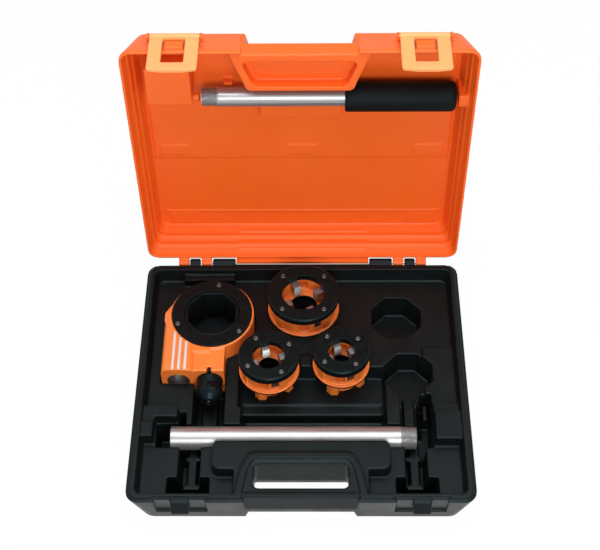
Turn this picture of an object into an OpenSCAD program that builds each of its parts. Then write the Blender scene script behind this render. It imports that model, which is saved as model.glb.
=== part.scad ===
// Hand pipe threading set: a ratchet die stock, three die heads and a two-part handle in a carrying case.
// The frame has its origin on the underside of the case, +X to the right, +Y to the hinges, +Z up.

/* [Case] */
// Width of the case over its rims
case_w = 400; // [396:1:420]
// Depth of the case from front rim to back rim
case_d = 344; // [342:1:360]
// Height of the base from its underside to its rim
base_h = 62; // [61:1:70]
// Height of the lid above the rims
lid_h = 46; // [44:1:60]
// Thickness of the moulded walls
skin = 2.5; // [2:0.1:3]
// How far the walls lean in between the rim and the far face
wall_lean = 13; // [9:1:14]
// Radius of the upright corner edges
corner_r = 14; // [8:1:18]
// Width of the base rim
rim_w = 10; // [9:0.5:11]
// Width of the step outside the rim, which the lip of the lid covers
rim_step_w = 4; // [3.8:0.1:5]
// Depth of the step outside the rim
rim_step_h = 3; // [2:0.5:5]
// Gap between the rims of the closed case
rim_gap = 0.6; // [0.4:0.1:1]

/* [Tray] */
// Depth of the tray floor below the rim
tray_drop = 20; // [18:0.5:22]
// Height of the floor of the wells above the underside
well_z = 6.5; // [6:0.5:7]
// Lean of the tray walls
tray_lean = 3; // [2:0.5:4]
// Gap between a tool and the pocket that it lies in
tool_gap = 1.5; // [1:0.1:2]
// Across flats of the spare octagon pocket at the back
spare_back_af = 64; // [60:1:66]
// Across flats of the spare octagon pocket at the side
spare_side_af = 60; // [56:1:61]

/* [Carrying handle] */
// Width of the block around the finger hole
grip_block_w = 208; // [200:1:212]
// Width of the finger hole
finger_w = 110; // [100:1:114]
// Length of the finger hole from front to back
finger_l = 32; // [28:1:34]
// Thickness of the handle from the rim down
grip_t = 43; // [40:1:46]
// How far the front wall is set back at the handle
grip_setback = 6; // [4:0.5:7]
// Width of the set-back at the handle
grip_setback_w = 130; // [124:1:134]

/* [Hinges] */
// Distance of the hinge axis behind the rims
hinge_back = 6; // [5.9:0.1:7]
// Distance of the hinge axis below the rim
hinge_drop = 5; // [4.5:0.5:6]
// Radius of a hinge knuckle
knuckle_r = 5.4; // [4.5:0.1:5.5]
// Radius of a hinge pin
hinge_pin_r = 2; // [1.5:0.1:2.5]
// Width of one hinge knuckle
knuckle_w = 13.4; // [12:0.1:14]
// Gap between neighbouring knuckles
knuckle_gap = 1.4; // [1:0.1:2]
// Distance of the inner end of each hinge from the middle of the case
hinge_x = 103; // [95:1:110]
// Opening angle of the lid
lid_open = 91.6; // [90:0.1:100]

/* [Latches] */
// Distance of each latch from the middle of the case
latch_x = 138; // [134:1:140]
// Width of a latch
latch_w = 55; // [50:1:57]
// Length of a latch above the rims
latch_up = 24; // [22:0.5:26]
// Length of a latch below the rims
latch_down = 37; // [36:0.5:40]
// Thickness of a latch plate
latch_t = 4; // [3:0.5:4.5]
// Width of the window in a latch
window_w = 24; // [22:0.5:28]
// Radius of a latch pivot pin
latch_pin_r = 1.5; // [1:0.1:2]

/* [Ratchet head] */
// Place of the ratchet head across the case
ratchet_x = -112.7; // [-114:0.1:-112]
// Place of the ratchet head along the case
ratchet_y = 87; // [85:0.5:89]
// Height of the ratchet body
body_h = 48; // [46:0.5:49]
// Depth of the underside of the ratchet body below the rim
ratchet_drop = 43; // [41:0.5:44]
// Outer radius of the ratchet housing
housing_r = 52.4; // [52:0.1:54]
// Outer radius of the black cover ring
cover_r = 50.4; // [49:0.1:51]
// Opening radius of the black cover ring
cover_hole_r = 34.9; // [34:0.1:36]
// Thickness of the black cover ring
cover_t = 3; // [2:0.5:4]
// Tip radius of the ratchet teeth
tooth_tip_r = 40.5; // [40:0.1:40.8]
// Root radius of the ratchet teeth
tooth_root_r = 37.2; // [36.5:0.1:37.5]
// Number of ratchet teeth
tooth_count = 24; // [12:12:24]
// Across flats of the octagonal drive on the die heads
drive_af = 58.4; // [57:0.1:59]
// Gap all round the octagonal drive in its socket
drive_gap = 0.4; // [0.3:0.1:0.6]
// Width of the handle boss
boss_w = 41.2; // [40:0.1:42]
// Distance of the handle boss from the axis of the ratchet
boss_offset = 38.3; // [38:0.1:39]
// Place of the front face of the handle boss
boss_front = 1.2; // [0:0.1:3]
// Radius of the threaded handle socket
socket_r = 13.7; // [13.6:0.1:14.5]
// Depth of the threaded handle socket
socket_depth = 36; // [30:1:38]
// Width of the pawl stem
stem_w = 36; // [35:0.5:38]
// Place of the front face of the pawl stem
stem_front = 3; // [2:0.1:4]

/* [Pawl] */
// Radius of the pawl head
pawl_r = 7.9; // [7:0.1:8.5]
// Length of the pawl head
pawl_head_l = 12; // [10:0.5:13]
// Radius of the pawl rod
pawl_rod_r = 4; // [3.5:0.1:4.5]
// Radius of the pawl tip between the teeth
pawl_tip_r = 2.8; // [2.4:0.1:3]
// Running gap around the pawl
pawl_gap = 0.08; // [0.05:0.01:0.1]
// Pull of the pawl out of the teeth
pawl_pull = 6; // [5:0.5:6]
// Radius of the pawl knob
knob_r = 16.8; // [16:0.1:17]
// Length of the pawl knob
knob_l = 32; // [30:0.5:34]
// Radius of the wire of the pawl spring
spring_wire_r = 0.6; // [0.5:0.05:0.7]
// Number of coils of the pawl spring
spring_turns = 7; // [5:1:8]

/* [Die heads] */
// Flange radius of the large die head
large_r = 45.3; // [43:0.1:46]
// Flange radius of the medium die head
medium_r = 37.3; // [36:0.1:38]
// Flange radius of the small die head
small_r = 35.1; // [34:0.1:36]
// Bore radius of the cover of the large die head
large_bore_r = 26.8; // [23:0.1:27.2]
// Bore radius of the cover of the medium die head
medium_bore_r = 20; // [18:0.1:20.4]
// Bore radius of the cover of the small die head
small_bore_r = 16.6; // [15:0.1:17]
// Radius of the pipe that the large die head cuts
large_pipe_r = 16.7; // [16:0.05:17]
// Radius of the pipe that the medium die head cuts
medium_pipe_r = 13.45; // [13:0.05:14]
// Radius of the pipe that the small die head cuts
small_pipe_r = 10.65; // [10:0.05:11]
// Height of the spool of the large die head
large_spool_h = 22; // [20:0.5:24]
// Height of the spools of the two smaller die heads
spool_h = 20; // [18:0.5:22]
// Thickness of the covers of the die heads
die_cover_t = 9.5; // [8:0.5:10]
// Thickness of the flanges of the die heads
flange_t = 4; // [3:0.5:5]
// Length of the octagonal drive of the die heads
drive_l = 24; // [20:1:25]
// Width of a thread chaser
chaser_w = 9; // [7:0.5:10]
// Height of a thread chaser
chaser_h = 15; // [12:0.5:16]
// Radius of the head of a cover screw
screw_head_r = 3.4; // [3:0.1:3.6]

/* [Handle] */
// Radius of the long handle tube
tube_r = 14; // [13.8:0.1:14.1]
// Length of the long handle tube
tube_l = 292; // [280:1:296]
// Wall of the long handle tube
tube_wall = 3.8; // [3.6:0.1:4.2]
// Wall of the tube that carries the grip
grip_tube_wall = 2.7; // [2.2:0.1:3]
// Radius of the tube that carries the grip
grip_tube_r = 11.4; // [11:0.1:11.6]
// Free length of the tube that carries the grip
grip_tube_free = 165.7; // [155:0.1:168]
// Radius of the rubber grip
grip_r = 17.8; // [17:0.1:18.5]
// Length of the rubber grip
grip_l = 128; // [120:1:130]
// Length of a tube thread
thread_l = 20; // [16:0.5:24]
// Depth of the thread on the tubes
thread_t = 0.5; // [0.3:0.1:0.6]

/* [Hidden] */

$fn = 96;
eps = 1;
fit_gap = 0.05;
seat_gap = 0.1;
moulding_gap = 0.3;

// Colours of the object
moulded_black = [0.07, 0.07, 0.075];
moulded_orange = [0.93, 0.36, 0.1];
latch_orange = [0.97, 0.62, 0.35];
paint_orange = [0.95, 0.42, 0.14];
satin_black = [0.05, 0.055, 0.06];
steel = [0.72, 0.73, 0.74];
rubber_black = [0.04, 0.04, 0.045];
stripe_grey = [0.75, 0.75, 0.74];

// Levels
tray_z = base_h - tray_drop;
terrace_z = tray_z - drive_l;
half_w = case_w / 2;
half_d = case_d / 2;
hinge_y = half_d + hinge_back;
hinge_z = base_h - hinge_drop;
lid_z = base_h + rim_gap;
lid_skin = skin + 0.5;
lid_lip_w = rim_step_w - 0.8;

// Box between two plan corners whose four sides lean in from z1 to z0
module leaning_box(lo, hi, z0, z1, lean) {
    intersection() {
        translate([0, hi.y, 0]) rotate([90, 0, 0]) linear_extrude(hi.y - lo.y)
            polygon([[lo.x, z1], [hi.x, z1], [hi.x - lean, z0], [lo.x + lean, z0]]);
        translate([lo.x, 0, 0]) rotate([90, 0, 90]) linear_extrude(hi.x - lo.x)
            polygon([[lo.y, z1], [hi.y, z1], [hi.y - lean, z0], [lo.y + lean, z0]]);
    }
}

// Upright box between two corners
module block(lo, hi) {
    translate(lo) cube(hi - lo);
}

// Flat rectangle with round corners
module round_rect(w, d, r) {
    square([w - 2 * r, d], center = true);
    square([w, d - 2 * r], center = true);
    for (x = [-1, 1], y = [-1, 1]) translate([x * (w / 2 - r), y * (d / 2 - r)]) circle(r);
}

// Octagon given by its distance across flats
module octagon(af) {
    rotate(22.5) circle(r = af / 2 / cos(22.5), $fn = 8);
}

// Octagonal pocket at a place and turn, whose sides lean in from z1 to z0
module octagon_pocket(place, turn, af, z0, z1, lean) {
    translate(place) intersection_for(a = [0, 45])
        rotate(turn + a) leaning_box([-af / 2, -af / 2], [af / 2, af / 2], z0, z1, lean);
}

// Moulded case half: rim at z_rim, far face at z_far, drawn in by inset all round
module case_form(z_rim, z_far, inset) {
    up = sign(z_far - z_rim);
    lean = max(wall_lean, 0.1);
    r = max(corner_r - inset, 2);
    hull() for (x = [-1, 1], y = [-1, 1]) {
        translate([x * (half_w - inset - r), y * (half_d - inset - r), min(z_rim, z_rim + up)])
            cylinder(r = r, h = 1, $fn = 32);
        translate([x * (half_w - inset - r - lean), y * (half_d - inset - r - lean), min(z_far, z_far - up)])
            cylinder(r = r, h = 1, $fn = 32);
    }
}

// Set-back of the base at the carrying handle, with room for the hand below it
finger_back_y = -half_d + 50;
finger_y = finger_back_y - finger_l / 2;
module base_grip_cut(grow) {
    block([-grip_setback_w / 2 - grow, -half_d - eps, -eps],
          [grip_setback_w / 2 + grow, -half_d + grip_setback + grow, base_h + eps]);
    leaning_box([-grip_setback_w / 2 - grow, -half_d - eps], [grip_setback_w / 2 + grow, finger_back_y + 8 + grow],
                base_h - grip_t + grow, -eps, 4);
}

// One hinge has knuckles for the base and for the lid in turn, from the middle outwards
function knuckle_start(i) = hinge_x + i * (knuckle_w + knuckle_gap);
module knuckles(side, first, z_top, z_low, y_front) {
    for (i = [first, first + 2]) {
        x0 = side > 0 ? knuckle_start(i) : -knuckle_start(i) - knuckle_w;
        difference() {
            union() {
                translate([x0, hinge_y, hinge_z]) rotate([0, 90, 0]) cylinder(r = knuckle_r, h = knuckle_w);
                block([x0, y_front, z_low], [x0 + knuckle_w, hinge_y, z_top]);
            }
            translate([x0 - eps, hinge_y, hinge_z]) rotate([0, 90, 0])
                cylinder(r = hinge_pin_r + fit_gap, h = knuckle_w + 2 * eps);
        }
    }
}

module hinge_pin(side) {
    l = knuckle_start(3) + knuckle_w - knuckle_start(0);
    color(steel) translate([side > 0 ? knuckle_start(0) : -knuckle_start(0) - l, hinge_y, hinge_z])
        rotate([0, 90, 0]) cylinder(r = hinge_pin_r, h = l);
}

// Between the hinges a skirt on the lid closes the gap behind the open case, over a ledge and two stops on the base
skirt_half = 85;
skirt_gap = 2;
skirt_in = 4;
skirt_t = 4.6;
skirt_low = 2;
ledge_gap = 0.5;
ledge_h = 4.5;
hinge_stop_x = skirt_half + skirt_gap;
module lid_skirt() {
    top = lid_z + 4;
    block([-skirt_half, hinge_y - skirt_in, hinge_z - skirt_low], [skirt_half, hinge_y - skirt_in + skirt_t, top]);
    block([-skirt_half, half_d - 2.5, lid_z], [skirt_half, hinge_y - skirt_in + 1, top]);
}

module hinge_ledge() {
    ledge_z = hinge_z - skirt_low - ledge_gap;
    block([-hinge_stop_x - 1, half_d - 4, ledge_z - ledge_h], [hinge_stop_x + 1, hinge_y - ledge_gap, ledge_z]);
    for (x = [-knuckle_start(0), hinge_stop_x]) {
        l = knuckle_start(0) - hinge_stop_x;
        translate([x, hinge_y, hinge_z]) rotate([0, 90, 0]) cylinder(r = knuckle_r, h = l);
        block([x, half_d - 1.5, hinge_z - knuckle_r], [x + l, hinge_y, hinge_z + 1]);
    }
}

// Ledge inside the top edge of the base, which carries the rim of the tray
ledge_w = rim_step_w + 2;
ledge_t = 2;
module rim_ledge() {
    translate([0, 0, base_h - rim_step_h - ledge_t]) linear_extrude(ledge_t) difference() {
        round_rect(case_w - 2, case_d - 2, corner_r - 1);
        round_rect(case_w - 2 * ledge_w, case_d - 2 * ledge_w, corner_r - ledge_w);
    }
}

// Outer skin of the base, with the catches for the latches and its half of the hinges
catch_w = window_w - 3;
catch_top = 4;
catch_low = 22;
catch_out = 6;
latch_recess_w = latch_w + 4;
latch_recess_d = 2.5;
module latch_recess(x, grow) {
    translate([x, -half_d, base_h + eps]) rotate([atan(wall_lean / base_h), 0, 0])
        translate([-latch_recess_w / 2 - grow, -10, -latch_down - 6 - grow])
        cube([latch_recess_w + 2 * grow, 10 + latch_recess_d + grow, latch_down + 10 + grow]);
}

module base_shell() {
    color(moulded_black) {
        difference() {
            case_form(base_h - rim_step_h, 0, 0);
            difference() {
                case_form(base_h + eps, skin, skin);
                rim_ledge();
                base_grip_cut(skin);
                for (x = [-latch_x, latch_x]) latch_recess(x, skin);
            }
            base_grip_cut(0);
            for (x = [-latch_x, latch_x]) latch_recess(x, 0);
            finger_hole();
        }
        for (x = [-latch_x, latch_x])
            translate([x - catch_w / 2, 0, 0]) rotate([90, 0, 90]) linear_extrude(catch_w)
                polygon([[-half_d + latch_recess_d + 1.5, base_h - catch_top], [-half_d - 0.4, base_h - catch_top],
                         [-half_d - catch_out, base_h - catch_low + 4], [-half_d - catch_out, base_h - catch_low],
                         [-half_d + latch_recess_d + 5, base_h - catch_low]]);
        for (side = [-1, 1])
            knuckles(side, 0, hinge_z + 1, hinge_z - knuckle_r, half_d - 1.5);
        hinge_ledge();
    }
}

// Hole for the fingers through the carrying handle
module finger_hole() {
    translate([0, finger_y, base_h - grip_t - eps]) linear_extrude(grip_t + 2 * eps)
        round_rect(finger_w, finger_l, 7);
}

// Places of the tools in the tray, the large die head kept clear of the wall behind it
basin_lean = 3;
wall_gap = 0.3;
large_place = [1.7, min(113.4, half_d - rim_w - basin_lean - wall_gap - large_r)];
medium_place = [-40.3, 19.4];
small_place = [48.4, 26.4];
die_places = [large_place, medium_place, small_place];
die_turns = [44.6, 33, 40];
spare_back_place = [119.5, 99.6];
spare_side_place = [131, 14];
tube_x = -155.3;
tube_y = -75.6;
tube_z = base_h - 24;
tube_end = tube_x + tube_l;
boss_x = ratchet_x - boss_offset;
boss_h = 50;
ratchet_z = base_h - ratchet_drop;
ratchet_mid_z = ratchet_z + boss_h / 2;
stem_x = ratchet_x;

// Edges of the terrace under the two smaller die heads, and of the trough of the long tube
terrace_back = 25.5;
terrace_front = -27;
terrace_crease = -13;
terrace_left = -79;
terrace_right = 104;
trough_front = tube_y - 15.8;
trough_back = tube_y + 18;
trough_left = tube_x - 18.7;
trough_right = tube_end + 20.5;
channel_step = 1;
handle_back = trough_front + 2;
handle_l = 40;
handle_top = base_h - 2.5;

// Raised blocks on the tray floor: the handle block, the stops at the tube ends and low panels
module tray_raised() {
    foot = tray_z - eps;
    translate([0, handle_back - handle_l / 2, foot]) linear_extrude(handle_top - foot)
        round_rect(grip_block_w, handle_l, 10);
    block([-78, -half_d + rim_w - eps, foot], [78, handle_back - handle_l + 3, handle_top]);
    difference() {
        handle_lip(0, handle_top - eps, base_h);
        handle_lip(8, handle_top, base_h + eps);
    }
    left = -half_w + rim_w - eps;
    right = half_w - rim_w + eps;
    stop_x = trough_right + 1;
    block([left, trough_back + 1, foot], [trough_left + 26, trough_back + 17, base_h - 5]);
    block([left, trough_back - 8, foot], [trough_left - 0.5, trough_back + 2, base_h - 5]);
    block([left, trough_front + 6, foot], [trough_left - 1.5, trough_back - 7, base_h - 2]);
    block([150, -35, foot], [right - 2, 51, tray_z + 4]);
    block([stop_x - 1, trough_back + 7, foot], [right, -35, tray_z + 10]);
    block([stop_x, trough_front + 3, foot], [right, trough_back + 8, base_h - 3]);
    block([-152, half_d - rim_w - 11, foot], [-88, half_d - rim_w + eps, base_h - 8]);
    block([-2, terrace_back - eps, foot], [12, terrace_back + 16, tray_z + 1.5]);
}

// Low lip round the finger hole, drawn in by the same amount all round
module handle_lip(inset, z0, z1) {
    back = 64 - inset;
    translate([0, -half_d, z0]) linear_extrude(z1 - z0)
        polygon([[-76 + inset, rim_w], [-70 + inset, 42], [-61 + inset / 2, back - 3], [-53, back],
                 [53, back], [61 - inset / 2, back - 3], [70 - inset, 42], [76 - inset, rim_w]]);
}

// Ribs that stand in the wells: saddles under the tube and steps
module tray_ribs() {
    saddle_z = tube_z - tube_r - seat_gap;
    low = well_z - eps;
    for (x = [tube_x + 26, tube_end - 3]) {
        block([x - 5.5, -132, low], [x + 5.5, trough_back - 6, saddle_z]);
        block([x - 10, -137, low], [x + 10, -130, saddle_z]);
        block([x - 9, trough_front - 7, low], [x + 9, trough_front - 1, saddle_z]);
    }
    block([stem_x - 9, trough_back + 2, low], [stem_x + 9, stem_front - 10, base_h - 45]);
    block([125, -46, low], [137, -6, base_h - 44]);
    block([147, -44, low], [152, -24, base_h - 34]);
}

// Pockets cut into the tray floor, each grown by the same amount all round and open at the top
module tray_pockets(grow, top) {
    g = [grow, grow];
    deep = well_z - grow;
    seat = ratchet_z - seat_gap - grow;
    join = trough_back - 8;
    lean = tray_lean - 1;
    step = 1.2;
    front_lean = 5.5;
    // Trough of the long tube, and the deep floor in front of the terrace
    leaning_box([trough_left, trough_front] - g, [trough_right, trough_back] + g, deep, top, tray_lean);
    leaning_box([trough_left + 26.5, join] - g, [trough_left + 36, trough_back + 17] + g, deep, top, lean);
    leaning_box([terrace_left + 4, join] - g, [terrace_right, terrace_front] + g, terrace_z - step - grow, top, tray_lean);
    leaning_box([terrace_left + 4, join - front_lean] - g, [terrace_right, terrace_front - tray_lean] + g, deep,
                terrace_z - step - grow + eps, front_lean);
    // Terrace below the two smaller die heads, with a low step along its front
    leaning_box([terrace_left, terrace_front - 8] - g, [terrace_right, terrace_back] + g, terrace_z - grow, top, tray_lean);
    leaning_box([terrace_left + 3, terrace_front - 8] - g, [terrace_right - 3, terrace_crease] + g,
                terrace_z - step - grow, top, tray_lean);
    // Ratchet head with its stem, knob and handle boss
    translate([ratchet_x, ratchet_y, seat]) cylinder(r = housing_r + tool_gap + grow, h = top - seat);
    leaning_box([boss_x - boss_w / 2 - tool_gap, boss_front - tool_gap] - g,
                [boss_x + boss_w / 2 + tool_gap, ratchet_y + 20] + g, seat, top, 0);
    leaning_box([stem_x - stem_w / 2 - tool_gap, stem_front - tool_gap] - g,
                [stem_x + stem_w / 2 + tool_gap, ratchet_y] + g, seat, top, 0);
    leaning_box([stem_x - knob_r - 3, join] - g, [stem_x + knob_r + 3, stem_front] + g, deep, top, lean);
    // Octagonal seats of the die heads, and the two spare ones
    for (i = [0:2])
        octagon_pocket(die_places[i], 0, drive_af + 2 * (tool_gap + grow), terrace_z - grow, top, 0);
    octagon_pocket(spare_back_place, 0, spare_back_af + 2 * grow, deep, top, lean);
    octagon_pocket(spare_side_place, 0, spare_side_af + 2 * grow, deep + channel_step, top, lean);
    // Channel from the side pocket to the trough, and the small well beside it
    leaning_box([118, join] - g, [144, -10] + g, deep, top, lean);
    leaning_box([142, join] - g, [trough_right, -17] + g, deep, top, lean);
    // Channels and wells in front of the tube
    for (x = [tube_x + 24, tube_end - 2]) {
        leaning_box([x - 13.5, -134] - g, [x + 13.5, trough_front + 8] + g, deep, top, lean);
        leaning_box([x - 27, -half_d + rim_w + 2] - g, [x + 27, -128] + g, deep, top, tray_lean + 3);
    }
}

// Wide basin inside the rim, down to the tray floor
basin_r = 9;
module tray_basin(grow, top) {
    r = basin_r + grow;
    x = half_w - rim_w - basin_r;
    y = half_d - rim_w - basin_r;
    hull() for (sx = [-1, 1], sy = [-1, 1]) {
        translate([sx * x, sy * y, base_h - eps]) cylinder(r = r, h = top - base_h + eps, $fn = 32);
        translate([sx * (x - basin_lean), sy * (y - basin_lean), tray_z - grow]) cylinder(r = r, h = eps, $fn = 32);
    }
}

// Hollow under the handle block
module handle_hollow() {
    block([-grip_block_w / 2 + 8, finger_back_y + 2 * skin, tray_z - skin - eps],
          [grip_block_w / 2 - 8, handle_back - 2 * skin, handle_top - skin]);
}

// Inner skin of the base, moulded to hold the tools
module base_tray() {
    color(moulded_black) difference() {
        union() {
            difference() {
                union() {
                    translate([0, 0, base_h - rim_step_h]) linear_extrude(rim_step_h)
                        round_rect(case_w - 2 * rim_step_w, case_d - 2 * rim_step_w, corner_r - rim_step_w);
                    intersection() {
                        union() {
                            tray_basin(skin, base_h);
                            tray_pockets(skin, base_h);
                            block([-finger_w / 2 - skin, finger_y - finger_l / 2 - skin, base_h - grip_t + skin],
                                  [finger_w / 2 + skin, finger_y + finger_l / 2 + skin, base_h]);
                        }
                        case_form(base_h + eps, skin, skin + moulding_gap);
                    }
                }
                difference() {
                    tray_basin(0, base_h + eps);
                    tray_raised();
                }
                tray_pockets(0, base_h + eps);
                handle_hollow();
            }
            intersection() {
                tray_ribs();
                tray_pockets(skin / 2, base_h);
            }
        }
        base_grip_cut(skin);
        for (x = [-latch_x, latch_x]) latch_recess(x, skin + moulding_gap);
        finger_hole();
    }
}

// Turns what is drawn on the closed case to where the open lid has it
module opened() {
    translate([0, hinge_y, hinge_z]) rotate([-lid_open, 0, 0]) translate([0, -hinge_y, -hinge_z]) children();
}

// Set-back of the lid over the carrying handle, grown by the same amount all round
lid_grip_t = 20;
module lid_grip_cut(grow) {
    block([-grip_setback_w / 2 - grow, -half_d - eps, base_h - eps - rim_step_h],
          [grip_setback_w / 2 + grow, -half_d + grip_setback + grow, lid_z + lid_h + eps]);
    translate([0, -half_d, lid_z + lid_grip_t - grow]) linear_extrude(lid_h)
        polygon([[-grip_setback_w / 2 - grow, -eps], [-50 - grow, 62 + grow],
                 [50 + grow, 62 + grow], [grip_setback_w / 2 + grow, -eps]]);
    // Round upper corners of the set-back
    half = grip_setback_w / 2 + grow;
    top = lid_z + lid_h + eps;
    translate([0, -half_d + 12 + grow, 0]) rotate([90, 0, 0]) linear_extrude(12 + grow + eps)
        polygon([[-half, lid_z + lid_grip_t], [-half - 2, top - 12], [-half - 6, top - 5], [-half - 12, top - 1],
                 [-half - 12, top], [half + 12, top], [half + 12, top - 1], [half + 6, top - 5], [half + 2, top - 12],
                 [half, lid_z + lid_grip_t]]);
}

// Blocks inside the lid: the handle block, the rest beside the tube and what carries the tube
grip_tube_in = 85;
grip_tube_depth = 20;
grip_side = 20.6;
grip_tube_y = -half_d + grip_tube_in;
grip_tube_z = lid_z + grip_tube_depth;
grip_end = half_w - grip_side;
grip_tube_x = grip_end - grip_l - grip_tube_free;
module lid_blocks() {
    panel_z = lid_z + lid_h - lid_skin;
    translate([0, -half_d, lid_z]) linear_extrude(lid_grip_t + lid_skin)
        polygon([[-79, 4], [-61, 56], [-57, 59], [57, 59], [61, 56], [79, 4]]);
    peg_l = 10.7;
    peg_gap = 2;
    block([-half_w + 25, grip_tube_y - 55, lid_z + 3], [grip_tube_x - peg_l + 1, grip_tube_y - 2, panel_z]);
    block([-48, grip_tube_y + 13, lid_z + 30], [48, grip_tube_y + 43, panel_z]);
    translate([grip_tube_x - peg_l, grip_tube_y, grip_tube_z]) rotate([0, 90, 0])
        cylinder(r = 5, h = peg_l - peg_gap);
    block([grip_end + 2.5, grip_tube_y - 8, lid_z + 10], [half_w - wall_lean / 2, grip_tube_y + 8, panel_z]);
    for (x = [grip_tube_x + 30.3, grip_tube_x + 132.3])
        block([x - 5, grip_tube_y - 11, grip_tube_z + grip_tube_r + seat_gap], [x + 5, grip_tube_y + 11, panel_z]);
    // Field behind the tube, and low pads on the panel
    field = 2;
    pad = 1.2;
    block([-half_w + 19, grip_tube_y - 66, panel_z - field], [half_w - 20, half_d - 140, panel_z]);
    for (x = [-156, 1, 155])
        block([x - 17.5, half_d - 162, panel_z - field - pad], [x + 17.5, half_d - 146, panel_z]);
    for (x = [-152, 152])
        block([x - 17.5, half_d - 38, panel_z - pad], [x + 17.5, half_d - 20, panel_z]);
    block([-177, half_d - 43, panel_z - pad], [177, half_d - 40, panel_z]);
    // Ribs on the wall at the hinges
    for (i = [1:4]) {
        z = lid_z + 8 * i;
        y = half_d - lid_skin - wall_lean * (z - lid_z) / lid_h;
        block([-82, y - 1.6, z], [82, y + 1.5, z + 4]);
    }
}

// Two low ribs that run round the inside of the lid walls
module lid_belts() {
    difference() {
        for (z = [12, 24]) block([-half_w, -half_d, lid_z + z], [half_w, half_d, lid_z + z + 4]);
        case_form(lid_z - eps, lid_z + lid_h - lid_skin, lid_skin + 1.4);
    }
}

// Pivot of a latch on the front wall of the lid
pivot_z = lid_z + latch_up - 4;
pivot_y = -half_d - 3.2;
ear_w = 3;
ear_gap = 0.5;
ear_r = 4.5;
module latch_ears(x) {
    for (side = [-1, 1]) {
        x0 = x + side * (latch_w / 2 + ear_gap + ear_w / 2) - ear_w / 2;
        difference() {
            union() {
                translate([x0, pivot_y, pivot_z]) rotate([0, 90, 0]) cylinder(r = ear_r, h = ear_w);
                block([x0, pivot_y, pivot_z - ear_r], [x0 + ear_w, -half_d + wall_lean / 2 + 1, pivot_z + ear_r]);
            }
            translate([x0 - eps, pivot_y, pivot_z]) rotate([0, 90, 0])
                cylinder(r = latch_pin_r + fit_gap, h = ear_w + 2 * eps);
        }
    }
}

module lid_shell() {
    color(moulded_orange) opened() {
        difference() {
            case_form(lid_z, lid_z + lid_h, 0);
            difference() {
                case_form(lid_z - eps, lid_z + lid_h - lid_skin, lid_skin);
                lid_grip_cut(lid_skin);
                lid_blocks();
                lid_belts();
            }
            lid_grip_cut(0);
            translate([0, -half_d, lid_z - eps]) linear_extrude(15)
                polygon([[-57, 16], [57, 16], [62.5, 18.5], [63.5, 24], [54, 49], [48, 53.5],
                         [-48, 53.5], [-54, 49], [-63.5, 24], [-62.5, 18.5]]);
        }
        difference() {
            translate([0, 0, base_h - rim_step_h + rim_gap]) linear_extrude(rim_step_h) difference() {
                round_rect(case_w, case_d, corner_r);
                round_rect(case_w - 2 * lid_lip_w, case_d - 2 * lid_lip_w, corner_r - lid_lip_w);
            }
            lid_grip_cut(0);
        }
        lid_skirt();
        for (side = [-1, 1]) {
            knuckles(side, 1, lid_z + 6, hinge_z, hinge_y - knuckle_r);
            for (i = [1, 3])
                block([side > 0 ? knuckle_start(i) : -knuckle_start(i) - knuckle_w, half_d - 2.5, lid_z],
                      [side > 0 ? knuckle_start(i) + knuckle_w : -knuckle_start(i), hinge_y - knuckle_r + 1, lid_z + 6]);
            latch_ears(side * latch_x);
            latch_boss(side * latch_x);
        }
    }
}

// Boss on the lid that fills the upper half of a latch window
module latch_boss(x) {
    block([x - catch_w / 2, pivot_y - latch_t / 2 + 0.5, lid_z], [x + catch_w / 2, -half_d + 6, window_top - 1.5]);
}

// Latch: a plate with a window that drops over its catch, on a barrel at the pivot
window_low = base_h - latch_down + 12;
window_top = pivot_z - 6;
barrel_r = 4;
module latch(x) {
    color(latch_orange) opened() difference() {
        union() {
            block([x - latch_w / 2, pivot_y - latch_t / 2, base_h - latch_down],
                  [x + latch_w / 2, pivot_y + latch_t / 2, pivot_z]);
            translate([x - latch_w / 2, pivot_y, pivot_z]) rotate([0, 90, 0]) cylinder(r = barrel_r, h = latch_w);
            block([x - window_w / 2, pivot_y - latch_t / 2 - 1.5, base_h - latch_down - 2],
                  [x + window_w / 2, pivot_y + latch_t / 2 - 1, base_h - latch_down + 8]);
        }
        block([x - window_w / 2, pivot_y - latch_t, window_low], [x + window_w / 2, pivot_y + latch_t, window_top]);
        translate([x - latch_w / 2 - eps, pivot_y, pivot_z]) rotate([0, 90, 0])
            cylinder(r = latch_pin_r + fit_gap, h = latch_w + 2 * eps);
    }
}

module latch_pin(x) {
    l = latch_w + 2 * (ear_gap + ear_w);
    color(steel) opened() translate([x - l / 2, pivot_y, pivot_z]) rotate([0, 90, 0]) cylinder(r = latch_pin_r, h = l);
}

// Ratchet head
lip_t = 4.5;
ring_play = 0.4;
ring_z = ratchet_z + lip_t + ring_play;
ring_h = body_h - lip_t - 2 * ring_play;
cover_z = ratchet_z + body_h;
cover_screw_r = 44.8;
screw_r = 1.7;
screw_hole_r = screw_r + fit_gap;
socket_mouth = 0.8;
cone_r = 16.9;
cone_l = 4;
key_slot_w = 5.4;
key_slot_l = 6;
cover_screw_turn = 81.4;
stem_top = ratchet_z + body_h - 2;
pawl_bore_r = pawl_r + pawl_gap;

module along_y(x, y, z) {
    translate([x, y, z]) rotate([-90, 0, 0]) children();
}

module cover_screw_places() {
    for (i = [0:2]) translate([ratchet_x, ratchet_y, 0]) rotate(cover_screw_turn + 120 * i)
        translate([cover_screw_r, 0, cover_z]) children();
}

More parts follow.
